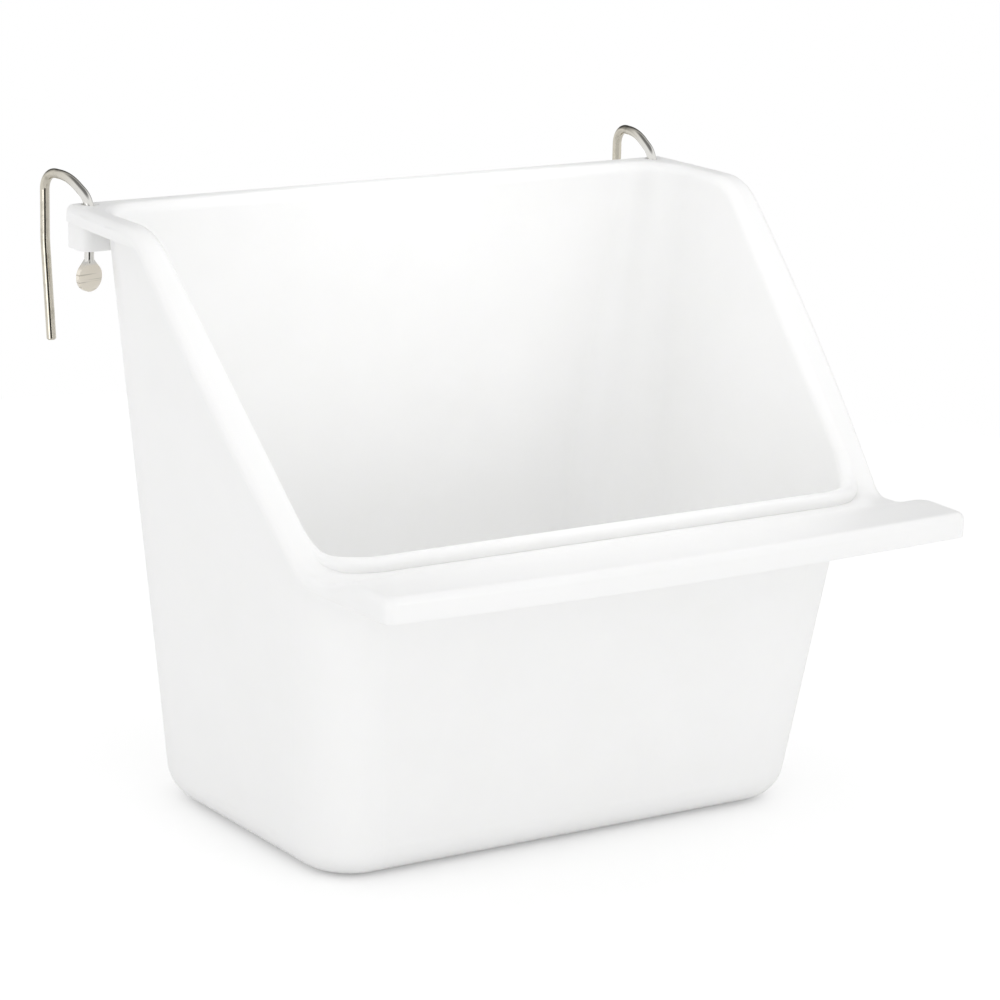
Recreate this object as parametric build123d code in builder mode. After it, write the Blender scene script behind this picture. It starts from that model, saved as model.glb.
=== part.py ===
from build123d import *
import math
import os

# Hanging feed cup: one moulded cup with an open, sloping front and two wire hooks
# that turn in bosses under its rear corners. Millimetres, X across, +Y to the rear,
# +Z up. The origin is the middle of the base's underside.

# Cup walls: a tapered box, wider at the mouth than at the foot
foot_width = 160.0
foot_depth = 103.0
ledge_height = 167.6
lip_height = 90.8
wall = 2.2
side_taper = 0.103
rear_taper = 0.01
front_taper = 0.122

# Upright corners, each a cone that narrows from the foot to the ledge
rear_corner_foot = 26.5
rear_corner_top = 15.0
front_corner_foot = 18.0
front_corner_top = 16.0
foot_edge_radius = 10.5

# Rim, seen from the side: rear ledge, a straight slope down each side, front lip
rim_thickness = 2.2
ledge_overhang = 5.9
ledge_run = 35.8
slope_setback = 2.3
knee_radius = 18.0
valley_radius = 8.0
valley_flat = 6.2
lip_rise = 3.9
lip_rise_length = 19.0
lip_depth = 38.7

# Rolled bead that stands along the front of the mouth
bead_height = 3.6
bead_width = 5.2
bead_blend = 6.0
bead_run_out = 2.0
bead_edge_radius = 1.8

# Rim, seen from above: how far it stands out from the walls
ledge_side_overhang = 3.7
slope_end_overhang = 5.95
side_bow = 4.35
lip_draw_in = 1.1
lip_bow = 3.2
lip_corner_radius = 3.0
rear_corner_rounding = 2.0
slope_end_rounding = 60.0

# Roundings and turned-down edge of the rim
rim_edge_radius = 2.2
mouth_radius = 3.0
skirt_thickness = 2.0
lip_skirt_drop = 3.0
ledge_skirt_height = 4.8

# Bosses under the rear corners, and the holes for the hooks
hole_side_setback = 5.5
hole_rear_setback = 4.3
hole_clearance = 0.4
hole_mouth_chamfer = 0.9
boss_height = 12.0
boss_depth = 10.6
boss_width = 17.0
boss_inset = 0.15
boss_corner_radius = 3.0
boss_draft = 1.5

# Wire hooks: reach behind the hole's axis and height above the ledge's top
hook_wire = 2.7
shank_bend_height = 1.1
shank_bend = 6.5
shoulder_reach = 9.5
shoulder_bend = 16.0
hook_height = 6.2
leg_gap = 14.95
over_bend = 5.0
leg_lean = 0.5
leg_knee_drop = 13.0
leg_bend = 40.0
tip_lean = 3.8
tip_drop = 41.0
tip_chamfer = 0.4
left_turn = 9.0
right_turn = 4.0

# Flattened wire end under each boss
neck_length = 4.2
neck_radius = 1.2
paddle_radius = 4.0
paddle_drop = 8.3
paddle_thickness = 1.2
paddle_squeeze = 4.0

# How far a cutting shape reaches past what it cuts, and how near counts as touching
clear = 1.0
near = 0.01

# Places that follow from the sizes above
reach = 2 * (foot_width + foot_depth)
ledge_wall_half = foot_width / 2 + side_taper * ledge_height
ledge_wall_rear = foot_depth / 2 + rear_taper * ledge_height
lip_wall_half = foot_width / 2 + side_taper * lip_height
lip_wall_front = foot_depth / 2 + front_taper * lip_height
rear_edge_y = ledge_wall_rear + ledge_overhang
slope_top_y = ledge_wall_rear - ledge_run
slope_bottom_y = slope_setback - lip_wall_front
lip_end_y = slope_bottom_y - lip_depth
rear_half_width = ledge_wall_half + ledge_side_overhang
slope_end_half_width = lip_wall_half + slope_end_overhang
lip_half_width = slope_end_half_width - lip_draw_in
side_middle_half_width = (rear_half_width + slope_end_half_width) / 2 + side_bow
side_middle_y = (rear_edge_y + slope_bottom_y) / 2
hole_x = rear_half_width - hole_side_setback
hole_y = rear_edge_y - hole_rear_setback
hole_radius = hook_wire / 2 + hole_clearance
hook_reach = hole_rear_setback + leg_gap + hook_wire / 2
slope_rise = (ledge_height - lip_height) / (slope_top_y - slope_bottom_y)
slope_angle = math.atan(slope_rise)
slope_drop = rim_thickness / math.cos(slope_angle)


def slope_y(height):
    """Where the top of the slope passes through a height."""
    return slope_bottom_y + (height - lip_height) / slope_rise


def corner_cone(side, end, inset, low, high):
    """A wall corner's cone between two heights, and the plane that cuts the corner off.

    side is -1 or 1 for the left or right wall, end is -1 or 1 for the front or rear
    wall. The cone touches both walls, so it and the walls meet without a crease.
    """
    taper = rear_taper if end > 0 else front_taper
    foot_radius = rear_corner_foot if end > 0 else front_corner_foot
    top_radius = rear_corner_top if end > 0 else front_corner_top
    shrink = (foot_radius - top_radius) / ledge_height
    radius = foot_radius - inset
    apex_height = radius / shrink
    edge = Vector(side * side_taper, end * taper, 1)
    foot = Vector(side * (foot_width / 2 - inset), end * (foot_depth / 2 - inset), 0)
    apex = foot + edge * apex_height
    side_normal = Vector(side, 0, -side_taper).normalized()
    end_normal = Vector(0, end, -taper).normalized()
    inward = -(side_normal + end_normal).normalized()
    half_wedge = math.sqrt((1 + side_normal.dot(end_normal)) / 2)
    lean = math.atan(radius / half_wedge / (apex_height * edge.length))
    axis = edge.normalized() * -math.cos(lean) + inward * math.sin(lean)
    spread = math.tan(math.asin(math.sin(lean) * half_wedge))
    margin = foot_radius
    start = (apex_height - high - margin) * edge.length
    end_of_cone = (apex_height - low + margin) * edge.length
    with BuildPart(Plane(origin=apex + axis * start, z_dir=axis)) as cone:
        Cone(
            start * spread,
            end_of_cone * spread,
            end_of_cone - start,
            align=(Align.CENTER, Align.CENTER, Align.MIN),
        )
        split(bisect_by=Plane.XY.offset(low), keep=Keep.TOP)
        split(bisect_by=Plane.XY.offset(high), keep=Keep.BOTTOM)
    side_touch = axis - side_normal * axis.dot(side_normal)
    end_touch = axis - end_normal * axis.dot(end_normal)
    cut_normal = side_touch.cross(end_touch) * (side * end)
    if cut_normal.dot(inward) > 0:
        cut_normal = -cut_normal
    return cone.part, Plane(origin=apex, z_dir=cut_normal)


def wall_block(inset, low, high):
    """The space inside the walls' outer faces, drawn inwards by inset."""
    half_width = foot_width / 2 - inset
    half_depth = foot_depth / 2 - inset
    corners = [corner_cone(s, e, inset, low, high) for s in (-1, 1) for e in (-1, 1)]
    with BuildPart() as block:
        with BuildSketch(Plane.XZ):
            with BuildLine():
                Polyline(
                    (half_width + side_taper * low, low),
                    (half_width + side_taper * high, high),
                    (-half_width - side_taper * high, high),
                    (-half_width - side_taper * low, low),
                    close=True,
                )
            make_face()
        extrude(amount=reach, both=True)
        with BuildSketch(Plane.YZ):
            with BuildLine():
                Polyline(
                    (half_depth + rear_taper * low, low),
                    (half_depth + rear_taper * high, high),
                    (-half_depth - front_taper * high, high),
                    (-half_depth - front_taper * low, low),
                    close=True,
                )
            make_face()
        extrude(amount=reach, both=True, mode=Mode.INTERSECT)
        for cone, cut in corners:
            split(bisect_by=cut, keep=Keep.BOTTOM)
        add([cone for cone, cut in corners])
    return block.part


def is_high(edge):
    """True for an edge of the rim or mouth: both its ends are near the lip's height or over it."""
    return min((edge @ 0).Z, (edge @ 1).Z) > lip_height - clear


def on_outline(edge):
    """True for an edge that follows the rim's outline, as its middle does."""
    middle = edge @ 0.5
    return outline.wire().distance_to(Vector(middle.X, middle.Y, 0)) < near


# Side view: everything under the rim's upper line, with the lip's dip and rise
lip_curve_radius = (lip_rise_length**2 + lip_rise**2) / (4 * lip_rise)
lip_curve_turn = math.degrees(math.asin(lip_rise_length / 2 / lip_curve_radius))
with BuildSketch(Plane.YZ) as under_rim:
    with BuildLine():
        slope_line = FilletPolyline(
            (reach, ledge_height),
            (slope_top_y, ledge_height),
            (slope_bottom_y, lip_height),
            (slope_bottom_y - valley_flat, lip_height),
            radius=[knee_radius, valley_radius],
        )
        dip = JernArc(slope_line @ 1, slope_line % 1, lip_curve_radius, -lip_curve_turn)
        crown = JernArc(dip @ 1, dip % 1, lip_curve_radius, lip_curve_turn)
        lip_top = Line(crown @ 1, (-reach, (crown @ 1).Y))
        Polyline(lip_top @ 1, (-reach, -reach), (reach, -reach), slope_line @ 0)
    make_face()

# Side view: the same line lowered by the plate's thickness, and by half of it
with BuildSketch(Plane.YZ) as under_rim_plate:
    offset(under_rim.sketch_local, amount=-rim_thickness, kind=Kind.INTERSECTION)
with BuildSketch(Plane.YZ) as under_rim_middle:
    offset(under_rim.sketch_local, amount=-rim_thickness / 2, kind=Kind.INTERSECTION)

# Side view: the bead, level along the front and running out on the slopes
bead_top = lip_height + bead_height
bead_foot = lip_height - rim_thickness / 2
bead_tangent = bead_blend * math.tan(slope_angle / 2) + bead_run_out
bead_rear_y = slope_y(bead_top) + bead_tangent * math.cos(slope_angle)
with BuildSketch(Plane.YZ) as bead_side:
    with BuildLine():
        bead_line = FilletPolyline(
            (bead_rear_y, bead_top + bead_tangent * math.sin(slope_angle)),
            (slope_y(bead_top), bead_top),
            (-reach, bead_top),
            radius=[bead_blend],
        )
        Polyline(bead_line @ 1, (-reach, bead_foot), (bead_rear_y, bead_foot), bead_line @ 0)
    make_face()

# Side view: everything under the skirt's lower edge
ledge_skirt_bottom = ledge_height - ledge_skirt_height
lip_skirt_bottom = lip_height - lip_skirt_drop
with BuildSketch(Plane.YZ) as under_skirt:
    with BuildLine():
        skirt_line = Polyline(
            (reach, ledge_skirt_bottom),
            (slope_y(ledge_skirt_bottom + slope_drop), ledge_skirt_bottom),
            (slope_y(lip_skirt_bottom + slope_drop), lip_skirt_bottom),
            (-reach, lip_skirt_bottom),
        )
        Polyline(skirt_line @ 1, (-reach, -reach), (reach, -reach), skirt_line @ 0)
    make_face()

# Top view: the rim's outline
with BuildSketch() as outline:
    with BuildLine():
        right_side = ThreePointArc(
            (rear_half_width, rear_edge_y),
            (side_middle_half_width, side_middle_y),
            (slope_end_half_width, slope_bottom_y),
        )
        right_end = Line(right_side @ 1, (lip_half_width, lip_end_y))
        front_edge = ThreePointArc(
            right_end @ 1, (0, lip_end_y - lip_bow), (-lip_half_width, lip_end_y)
        )
        left_end = Line(front_edge @ 1, (-slope_end_half_width, slope_bottom_y))
        left_side = ThreePointArc(
            left_end @ 1,
            (-side_middle_half_width, side_middle_y),
            (-rear_half_width, rear_edge_y),
        )
        Line(left_side @ 1, right_side @ 0)
    make_face()
    fillet(outline.vertices().group_by(Axis.Y)[-1], rear_corner_rounding)
    fillet(outline.vertices().group_by(Axis.Y)[0], lip_corner_radius)
    slope_ends = [v for v in outline.vertices() if abs(v.Y - slope_bottom_y) < near]
    fillet(slope_ends, slope_end_rounding)
with BuildSketch() as inner_outline:
    offset(outline.sketch_local, amount=-skirt_thickness)

# Top view: the bosses, just inside the outline
boss_outer_x = rear_half_width - boss_inset
boss_inner_x = rear_half_width - boss_width
boss_rear_y = rear_edge_y - boss_inset
boss_front_y = rear_edge_y - boss_depth
boss_middle = ((boss_inner_x + boss_outer_x) / 2, (boss_front_y + boss_rear_y) / 2)
with BuildSketch(Plane.XY.offset(ledge_height - rim_thickness / 2)) as boss_outline:
    with Locations((-boss_middle[0], boss_middle[1]), boss_middle):
        Rectangle(boss_outer_x - boss_inner_x, boss_rear_y - boss_front_y)
    front_corners = boss_outline.vertices().group_by(Axis.Y)[0].sort_by(Axis.X)
    fillet([front_corners[0], front_corners[-1]], boss_corner_radius)
    rear_corners = boss_outline.vertices().group_by(Axis.Y)[-1].sort_by(Axis.X)
    fillet([rear_corners[0], rear_corners[-1]], rear_corner_rounding)

# The hollow inside the walls
hollow_block = wall_block(wall, wall, ledge_height + clear)
with BuildPart() as hollow:
    add(hollow_block)
    fillet(hollow.faces().sort_by(Axis.Z)[0].edges(), foot_edge_radius - wall)

# Walls up to the rim's plate
wall_outer_block = wall_block(0, 0, ledge_height + clear)
with BuildPart() as walls:
    add(wall_outer_block)
    fillet(walls.faces().sort_by(Axis.Z)[0].edges(), foot_edge_radius)
    extrude(under_rim_middle.sketch, amount=reach, both=True, mode=Mode.INTERSECT)

# Bead: a band round the front of the mouth, a little wider than the walls
bead_outer_block = wall_block(wall - bead_width, 0, ledge_height + clear)
with BuildPart() as bead:
    add(bead_outer_block)
    extrude(bead_side.sketch, amount=reach, both=True, mode=Mode.INTERSECT)
    top_edges = bead.edges().filter_by_position(Axis.Z, bead_top - near, bead_top + near)
    fillet(top_edges.sort_by(Axis.Y)[0], bead_edge_radius)

# Rim: a solid block under the rim's upper line, cut to the outline and rounded
with BuildPart() as rim:
    extrude(under_rim.sketch, amount=reach, both=True)
    extrude(outline.sketch, amount=ledge_height + clear, mode=Mode.INTERSECT)
    rim_edges = [edge for edge in rim.edges() if is_high(edge) and on_outline(edge)]
    fillet(rim_edges, rim_edge_radius)

# The space under the rim, inside its turned-down edge
with BuildPart() as rim_space:
    extrude(under_rim_plate.sketch, amount=reach, both=True)
    extrude(inner_outline.sketch, amount=ledge_height + clear, mode=Mode.INTERSECT)

# Bosses under the rear corners
with BuildPart() as bosses:
    extrude(boss_outline.sketch, amount=rim_thickness / 2 - boss_height, taper=boss_draft)

with BuildPart() as cup:
    add(rim.part)
    add(rim_space.part, mode=Mode.SUBTRACT)
    extrude(under_skirt.sketch, amount=reach, both=True, mode=Mode.SUBTRACT)
    add(walls.part)
    add(bead.part)
    add(bosses.part)
    add(hollow.part, mode=Mode.SUBTRACT)
    with Locations((-hole_x, hole_y, ledge_height), (hole_x, hole_y, ledge_height)):
        Hole(hole_radius, depth=boss_height + clear)
    mouth = [
        edge
        for edge in cup.edges()
        if is_high(edge) and hollow.part.distance_to(edge @ 0.5) < near
    ]
    fillet(mouth, mouth_radius)
    top_circles = cup.edges().group_by(Axis.Z)[-1].filter_by(GeomType.CIRCLE)
    hole_mouths = [edge for edge in top_circles if abs(edge.radius - hole_radius) < near]
    chamfer(hole_mouths, hole_mouth_chamfer)
cup.part.label = "cup"


def hook_plane(side, turn):
    """The upright plane that a hook lies in, from its hole's axis to the rear."""
    angle = math.radians(turn)
    outward = side * math.sin(angle)
    rearward = math.cos(angle)
    return Plane(
        origin=(side * hole_x, hole_y, ledge_height),
        x_dir=(outward, rearward, 0),
        z_dir=(rearward, -outward, 0),
    )


def hook_wire_line(plane):
    """The middle line of a hook's wire, from under the boss up, over and down."""
    with BuildLine(plane) as line:
        FilletPolyline(
            (0, -boss_height - neck_length),
            (0, shank_bend_height),
            (shoulder_reach, hook_height),
            (hook_reach, hook_height),
            (hook_reach - leg_lean, -leg_knee_drop),
            (hook_reach - tip_lean, -tip_drop),
            radius=[shank_bend, shoulder_bend, over_bend, leg_bend],
        )
    return line.line


def paddle(plane):
    """The flattened wire end: a drop shape from the front, a wedge from the side."""
    neck = -boss_height - neck_length
    middle = -boss_height - paddle_drop
    wedge_end = neck - paddle_squeeze
    half = paddle_thickness / 2
    front = Plane(origin=plane.origin, x_dir=plane.z_dir, z_dir=-plane.x_dir)
    with BuildPart() as flat:
        with BuildSketch(front):
            with Locations((0, neck)):
                Circle(neck_radius)
            with Locations((0, middle)):
                Circle(paddle_radius)
            make_hull()
        extrude(amount=hook_wire, both=True)
        with BuildSketch(plane):
            with BuildLine():
                Polyline(
                    (neck_radius, neck + neck_radius),
                    (half, wedge_end),
                    (half, middle - 2 * paddle_radius),
                    (-half, middle - 2 * paddle_radius),
                    (-half, wedge_end),
                    (-neck_radius, neck + neck_radius),
                    close=True,
                )
            make_face()
        extrude(amount=2 * paddle_radius, both=True, mode=Mode.INTERSECT)
    return flat.part


def hook(side, turn):
    """One hook: its wire with a trimmed tip, and its flattened end under the boss."""
    plane = hook_plane(side, turn)
    line = hook_wire_line(plane)
    flat_end = paddle(plane)
    with BuildPart() as shape:
        with BuildSketch(Plane(origin=line @ 0, z_dir=line % 0)):
            Circle(hook_wire / 2)
        sweep(path=line)
        chamfer(shape.faces().sort_by_distance(line @ 1)[0].edges(), tip_chamfer)
        add(flat_end)
    return shape.part


left_hook = hook(-1, left_turn)
with BuildPart() as hook_left:
    add(left_hook)
hook_left.part.label = "hook_left"

right_hook = hook(1, right_turn)
with BuildPart() as hook_right:
    add(right_hook)
hook_right.part.label = "hook_right"

os.makedirs("parts", exist_ok=True)
export_step(cup.part, "parts/cup.step")
export_step(hook_left.part, "parts/hook_left.step")
export_step(hook_right.part, "parts/hook_right.step")
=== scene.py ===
import bpy
import math
from mathutils import Matrix, Vector

# Hanging feed cup: white satin moulding with two bright wire hooks. Metres, +Z up,
# the origin is the middle of the base's underside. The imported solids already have
# every shape, so this script gives them their finish and adds floor, light and camera.

# Camera, matched to the photograph
camera_azimuth = math.radians(-34.626)
camera_elevation = math.radians(14.645)
camera_roll = math.radians(2.143)
camera_distance = 1.130894
camera_target = Vector((0.006675, 0.0, 0.084965))
camera_lens_mm = 144.4
camera_sensor_mm = 36.0

# Floor: a round sheet just under the base, so that the two don't share a plane. Its
# glow is for the camera alone and lifts it to white outside the object's shadow
floor_radius = 0.5
floor_level = -0.0004
floor_rings = 6
floor_steps = 48
floor_glow = 0.20

# Colours are linear
plastic_white = (0.930, 0.930, 0.925)
plastic_shade = (0.895, 0.896, 0.892)
wire_bright = (0.60, 0.565, 0.485)
wire_dull = (0.39, 0.37, 0.305)
wire_flat_painted_light = (0.84, 0.79, 0.70)
wire_painted_highlight = (0.74, 0.73, 0.70)
wire_scored = (0.38, 0.35, 0.29)
floor_white = (0.95, 0.95, 0.95)
studio_white = (1.0, 1.0, 1.0)
studio_dark = (0.03, 0.03, 0.028)

# Plastic: texture scales are in 1/m, bump depths in metres. The ranges of a texture's
# value are where its colour, or its gloss, goes from one end to the other
plastic_ior = 1.5
subsurface_weight = 0.4
subsurface_radius = (1.0, 1.0, 0.95)
subsurface_scale = 0.0025
cloud_scale = 38.0
cloud_detail = 3.0
cloud_range = (0.35, 0.7)
cloud_share = 0.5
grain_scale = 2600.0
grain_detail = 2.0
grain_depth = 0.00006
grain_strength = 0.25
wave_scale = 70.0
wave_detail = 1.0
wave_depth = 0.0004
wave_strength = 0.12
gloss_range = (0.3, 0.7)
plastic_roughness = (0.34, 0.42)

# Wire: drawn lines run along Z, scored lines run level across the flattened ends
drawn_scale = 1300.0
drawn_detail = 2.0
drawn_stretch = (1.0, 1.0, 0.035)
drawn_depth = 0.00004
drawn_strength = 0.2
patch_scale = 300.0
patch_detail = 3.0
patch_range = (0.52, 0.80)
score_scale = 1900.0
score_detail = 1.0
score_stretch = (0.03, 0.03, 1.0)
score_range = (0.60, 0.68)
score_share = 0.55
score_depth = 0.00004
score_strength = 0.5
wire_roughness = (0.06, 0.15)

# The hooks' flattened ends lie below this height and in front of this line, and
# their finish fades in over a short edge. That finish is partly their own colour and partly
# painted light:
# it is made lighter than the wire in place of the light the flat ends catch
paddle_top = 0.1515
paddle_rear = 0.0640
paddle_edge = 0.001

# A painted highlight makes the wire brighter on each hook's shank side: it fades in as the
# wire comes down between these heights and forward between these lines
highlight_top = 0.1790
highlight_full = 0.1700
highlight_rear = 0.0700
highlight_front = 0.0600

# Studio: what lights the object, and what the metal mirrors. That has a dark gap on
# the camera's side, a little to its right, a dark wall behind and a dark ceiling.
# The ranges are of the direction's share along the gap's azimuth, or of its height
sky_strength = 0.87
sky_seen_strength = 1.0
dark_azimuth = math.radians(-24.0)
gap_range = (0.86, 0.955)
wall_range = (-0.40, -0.80)
wall_height_range = (-0.10, 0.20)
wall_share = 0.95
ceiling_range = (0.70, 0.92)
ceiling_share = 0.80

# Lamps: place, point that each faces, size and power in watts. The mouth lamp's beam
# is kept to the cup's inside
front_lamp = ((0.25, -1.65, 0.22), (0.0, 0.0, 0.1), (1.2, 0.6), 3.4)
left_lamp = ((-1.65, -0.45, 0.18), (0.0, 0.0, 0.1), (0.9, 0.6), 2.2)
mouth_lamp = ((0.005, -0.015, 0.31), (0.0, 0.0, 0.03), (0.10, 0.06), 0.036)
mouth_beam = math.radians(78.0)

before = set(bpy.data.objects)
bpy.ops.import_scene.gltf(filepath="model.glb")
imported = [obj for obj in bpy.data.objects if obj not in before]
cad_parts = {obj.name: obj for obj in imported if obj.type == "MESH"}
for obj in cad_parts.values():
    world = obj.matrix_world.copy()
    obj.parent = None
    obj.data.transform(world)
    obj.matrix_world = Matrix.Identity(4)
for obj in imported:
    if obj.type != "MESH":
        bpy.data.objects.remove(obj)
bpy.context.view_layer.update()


def new_material(name):
    """An empty node material, with its node tree and its output node."""
    material = bpy.data.materials.new(name)
    material.use_nodes = True
    tree = material.node_tree
    tree.nodes.clear()
    output = tree.nodes.new("ShaderNodeOutputMaterial")
    return material, tree, output


def noise(tree, scale, detail, stretch=None):
    """A noise texture in the object's own space."""
    coordinates = tree.nodes.new("ShaderNodeTexCoord").outputs["Object"]
    texture = tree.nodes.new("ShaderNodeTexNoise")
    texture.inputs["Scale"].default_value = scale
    texture.inputs["Detail"].default_value = detail
    if stretch is not None:
        mapping = tree.nodes.new("ShaderNodeMapping")
        mapping.inputs["Scale"].default_value = stretch
        tree.links.new(coordinates, mapping.inputs["Vector"])
        coordinates = mapping.outputs["Vector"]
    tree.links.new(coordinates, texture.inputs["Vector"])
    return texture.outputs["Fac"]


def remap(tree, value, source, target):
    """Maps a value from one range onto another, and holds it there outside."""
    node = tree.nodes.new("ShaderNodeMapRange")
    node.inputs["From Min"].default_value, node.inputs["From Max"].default_value = source
    node.inputs["To Min"].default_value, node.inputs["To Max"].default_value = target
    tree.links.new(value, node.inputs["Value"])
    return node.outputs["Result"]


def combine(tree, operation, first, second):
    """The product, or the larger, of two values."""
    node = tree.nodes.new("ShaderNodeMath")
    node.operation = operation
    tree.links.new(first, node.inputs[0])
    tree.links.new(second, node.inputs[1])
    return node.outputs["Value"]


def blend_colours(tree, factor, first, second):
    """Mixes two colours by a factor. The first may be a socket, the second is plain."""
    node = tree.nodes.new("ShaderNodeMix")
    node.data_type = "RGBA"
    base, top = [item for item in node.inputs if item.type == "RGBA"]
    if isinstance(first, tuple):
        base.default_value = (*first, 1.0)
    else:
        tree.links.new(first, base)
    top.default_value = (*second, 1.0)
    tree.links.new(factor, node.inputs["Factor"])
    return [item for item in node.outputs if item.type == "RGBA"][0]


def blend_shaders(tree, factor, first, second):
    """Mixes two shaders by a factor."""
    node = tree.nodes.new("ShaderNodeMixShader")
    tree.links.new(factor, node.inputs["Fac"])
    tree.links.new(first, node.inputs[1])
    tree.links.new(second, node.inputs[2])
    return node.outputs["Shader"]


def bump(tree, height, depth, strength, below=None):
    """A bump of a given depth, on top of another bump if one is given."""
    node = tree.nodes.new("ShaderNodeBump")
    node.inputs["Distance"].default_value = depth
    node.inputs["Strength"].default_value = strength
    tree.links.new(height, node.inputs["Height"])
    if below is not None:
        tree.links.new(below, node.inputs["Normal"])
    return node.outputs["Normal"]


def make_plastic():
    """White satin moulded plastic: fine grain, slow waviness and a faint cloudiness."""
    material, tree, output = new_material("cup_plastic")
    shader = tree.nodes.new("ShaderNodeBsdfPrincipled")
    shader.inputs["IOR"].default_value = plastic_ior
    shader.inputs["Subsurface Weight"].default_value = subsurface_weight
    shader.inputs["Subsurface Radius"].default_value = subsurface_radius
    shader.inputs["Subsurface Scale"].default_value = subsurface_scale
    clouds = noise(tree, cloud_scale, cloud_detail)
    grain = noise(tree, grain_scale, grain_detail)
    waves = noise(tree, wave_scale, wave_detail)
    cloudy = remap(tree, clouds, cloud_range, (0.0, cloud_share))
    colour = blend_colours(tree, cloudy, plastic_white, plastic_shade)
    tree.links.new(colour, shader.inputs["Base Color"])
    roughness = remap(tree, clouds, gloss_range, plastic_roughness)
    tree.links.new(roughness, shader.inputs["Roughness"])
    wavy = bump(tree, waves, wave_depth, wave_strength)
    grained = bump(tree, grain, grain_depth, grain_strength, wavy)
    tree.links.new(grained, shader.inputs["Normal"])
    tree.links.new(shader.outputs["BSDF"], output.inputs["Surface"])
    return material


def make_wire():
    """Bright plated wire: drawn lines, dull patches, a painted highlight on the shank, a
    scored flat end painted lighter.
    """
    material, tree, output = new_material("hook_wire")
    shader = tree.nodes.new("ShaderNodeBsdfPrincipled")
    shader.inputs["Metallic"].default_value = 1.0
    drawn = noise(tree, drawn_scale, drawn_detail, drawn_stretch)
    patches = noise(tree, patch_scale, patch_detail)
    scores = noise(tree, score_scale, score_detail, score_stretch)
    coordinates = tree.nodes.new("ShaderNodeTexCoord")
    place = tree.nodes.new("ShaderNodeSeparateXYZ")
    tree.links.new(coordinates.outputs["Object"], place.inputs["Vector"])
    height = place.outputs["Z"]
    depth = place.outputs["Y"]

    # Where along the wire each finish, and the painted highlight, lies
    on_paddle = combine(
        tree, "MULTIPLY",
        remap(tree, height, (paddle_top, paddle_top - paddle_edge), (0.0, 1.0)),
        remap(tree, depth, (paddle_rear, paddle_rear - paddle_edge), (0.0, 1.0)),
    )
    painted_highlight_mask = combine(
        tree, "MULTIPLY",
        remap(tree, height, (highlight_top, highlight_full), (0.0, 1.0)),
        remap(tree, depth, (highlight_rear, highlight_front), (0.0, 1.0)),
    )
    score_lines = remap(tree, scores, score_range, (0.0, score_share))
    scored = combine(tree, "MULTIPLY", score_lines, on_paddle)

    dulled = remap(tree, patches, patch_range, (0.0, 1.0))
    colour = blend_colours(tree, dulled, wire_bright, wire_dull)
    # Painted highlight: brighter silver over the shank, in place of the bright reflection
    # there
    colour = blend_colours(tree, painted_highlight_mask, colour, wire_painted_highlight)
    # Flattened end: its own colour, painted lighter in place of the light it catches
    colour = blend_colours(tree, on_paddle, colour, wire_flat_painted_light)
    colour = blend_colours(tree, scored, colour, wire_scored)
    tree.links.new(colour, shader.inputs["Base Color"])
    roughness = remap(tree, patches, gloss_range, wire_roughness)
    tree.links.new(roughness, shader.inputs["Roughness"])
    ridged = bump(tree, drawn, drawn_depth, drawn_strength)
    grooved = bump(tree, scored, -score_depth, score_strength, ridged)
    tree.links.new(grooved, shader.inputs["Normal"])
    tree.links.new(shader.outputs["BSDF"], output.inputs["Surface"])
    return material


def make_floor():
    """Pale floor: shows white to the camera, and still takes the object's shadow."""
    material, tree, output = new_material("floor_white")
    diffuse = tree.nodes.new("ShaderNodeBsdfDiffuse")
    diffuse.inputs["Color"].default_value = (*floor_white, 1.0)
    glow = tree.nodes.new("ShaderNodeEmission")
    path = tree.nodes.new("ShaderNodeLightPath")
    strength = remap(tree, path.outputs["Is Camera Ray"], (0.0, 1.0), (0.0, floor_glow))
    tree.links.new(strength, glow.inputs["Strength"])
    add = tree.nodes.new("ShaderNodeAddShader")
    tree.links.new(diffuse.outputs["BSDF"], add.inputs[0])
    tree.links.new(glow.outputs["Emission"], add.inputs[1])
    tree.links.new(add.outputs["Shader"], output.inputs["Surface"])
    return material


def make_floor_mesh():
    """A round sheet of rings that lie closer together towards the middle."""
    verts = [(0.0, 0.0, floor_level)]
    for ring in range(1, floor_rings + 1):
        radius = floor_radius * (ring / floor_rings) ** 2
        for step in range(floor_steps):
            angle = 2 * math.pi * step / floor_steps
            verts.append((radius * math.cos(angle), radius * math.sin(angle), floor_level))
    faces = [(0, 1 + step, 1 + (step + 1) % floor_steps) for step in range(floor_steps)]
    for ring in range(1, floor_rings):
        inner = 1 + (ring - 1) * floor_steps
        outer = inner + floor_steps
        for step in range(floor_steps):
            following = (step + 1) % floor_steps
            faces.append((inner + step, outer + step, outer + following, inner + following))
    mesh = bpy.data.meshes.new("floor")
    mesh.from_pydata(verts, [], faces)
    return mesh


def background(tree, strength):
    """A white background of a given strength."""
    node = tree.nodes.new("ShaderNodeBackground")
    node.inputs["Color"].default_value = (*studio_white, 1.0)
    node.inputs["Strength"].default_value = strength
    return node


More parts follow.
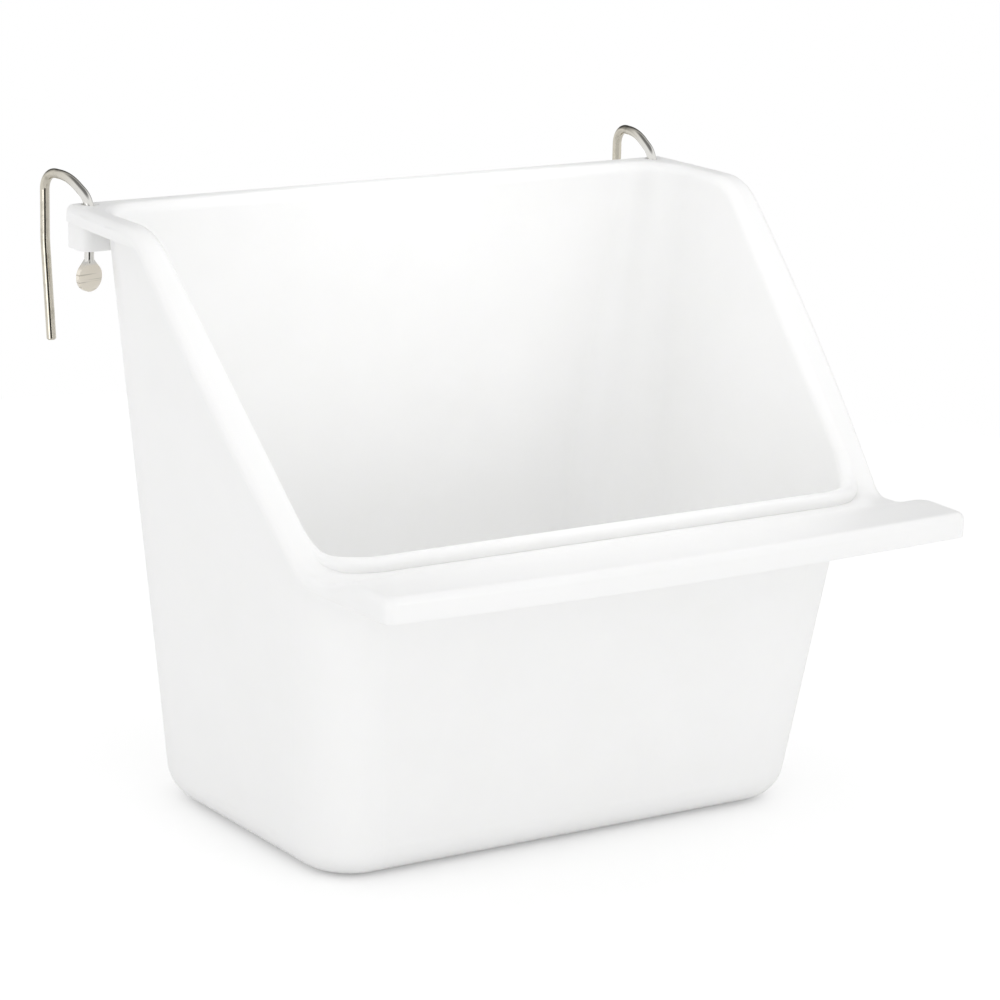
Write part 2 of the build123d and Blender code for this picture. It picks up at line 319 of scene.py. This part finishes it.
def make_world():
    """White to the camera, a soft studio to everything else."""
    world = bpy.data.worlds.new("studio")
    world.use_nodes = True
    tree = world.node_tree
    tree.nodes.clear()
    output = tree.nodes.new("ShaderNodeOutputWorld")
    path = tree.nodes.new("ShaderNodeLightPath")
    light = background(tree, sky_strength)
    seen = background(tree, sky_seen_strength)
    mirrored = tree.nodes.new("ShaderNodeBackground")

    # The direction's share along the gap's azimuth, and its height
    direction = tree.nodes.new("ShaderNodeTexCoord")
    facing = tree.nodes.new("ShaderNodeVectorMath")
    facing.operation = "DOT_PRODUCT"
    facing.inputs[1].default_value = (math.sin(dark_azimuth), -math.cos(dark_azimuth), 0.0)
    tree.links.new(direction.outputs["Generated"], facing.inputs[0])
    along = facing.outputs["Value"]
    place = tree.nodes.new("ShaderNodeSeparateXYZ")
    tree.links.new(direction.outputs["Generated"], place.inputs["Vector"])
    height = place.outputs["Z"]

    gap = remap(tree, along, gap_range, (0.0, 1.0))
    wall = combine(
        tree, "MULTIPLY",
        remap(tree, along, wall_range, (0.0, wall_share)),
        remap(tree, height, wall_height_range, (0.0, 1.0)),
    )
    ceiling = remap(tree, height, ceiling_range, (0.0, ceiling_share))
    darkness = combine(tree, "MAXIMUM", combine(tree, "MAXIMUM", gap, wall), ceiling)
    tree.links.new(
        blend_colours(tree, darkness, studio_white, studio_dark), mirrored.inputs["Color"]
    )

    unseen = blend_shaders(
        tree, path.outputs["Is Glossy Ray"],
        light.outputs["Background"], mirrored.outputs["Background"],
    )
    sky = blend_shaders(
        tree, path.outputs["Is Camera Ray"], unseen, seen.outputs["Background"]
    )
    tree.links.new(sky, output.inputs["Surface"])
    return world


def set_material(node, material):
    """Gives a carried-over solid its finish."""
    for slot in bpy.data.objects[node].material_slots:
        slot.material = material


def area_light(name, place, aim, size, power):
    """A soft rectangular lamp that faces a point."""
    data = bpy.data.lights.new(name, "AREA")
    data.shape = "RECTANGLE"
    data.size, data.size_y = size
    data.energy = power
    lamp = bpy.data.objects.new(name, data)
    lamp.location = place
    lamp.rotation_euler = (Vector(aim) - Vector(place)).to_track_quat("-Z", "Y").to_euler()
    bpy.context.collection.objects.link(lamp)
    return lamp


def make_camera():
    """A camera that looks back at its target from the photograph's angle, with its roll."""
    back = Vector((
        math.sin(camera_azimuth) * math.cos(camera_elevation),
        -math.cos(camera_azimuth) * math.cos(camera_elevation),
        math.sin(camera_elevation),
    ))
    level_right = Vector((math.cos(camera_azimuth), math.sin(camera_azimuth), 0.0))
    level_up = back.cross(level_right)
    right = level_right * math.cos(camera_roll) + level_up * math.sin(camera_roll)
    up = level_up * math.cos(camera_roll) - level_right * math.sin(camera_roll)
    data = bpy.data.cameras.new("camera")
    data.sensor_width = camera_sensor_mm
    data.lens = camera_lens_mm
    camera = bpy.data.objects.new("camera", data)
    turn = Matrix((right, up, back)).transposed().to_4x4()
    camera.matrix_world = Matrix.Translation(camera_target + back * camera_distance) @ turn
    bpy.context.collection.objects.link(camera)
    return camera


# Finishes
plastic = make_plastic()
wire = make_wire()
set_material("cup", plastic)
set_material("hook_left", wire)
set_material("hook_right", wire)

# Floor
floor = bpy.data.objects.new("floor", make_floor_mesh())
bpy.context.collection.objects.link(floor)
floor.data.materials.append(make_floor())

# Light
bpy.context.scene.world = make_world()
area_light("front", *front_lamp)
area_light("left", *left_lamp)
mouth_light = area_light("mouth", *mouth_lamp)
mouth_light.data.spread = mouth_beam
mouth_light.visible_camera = False
mouth_light.visible_glossy = False

bpy.context.scene.camera = make_camera()

bpy.context.scene.view_settings.view_transform = "Standard"
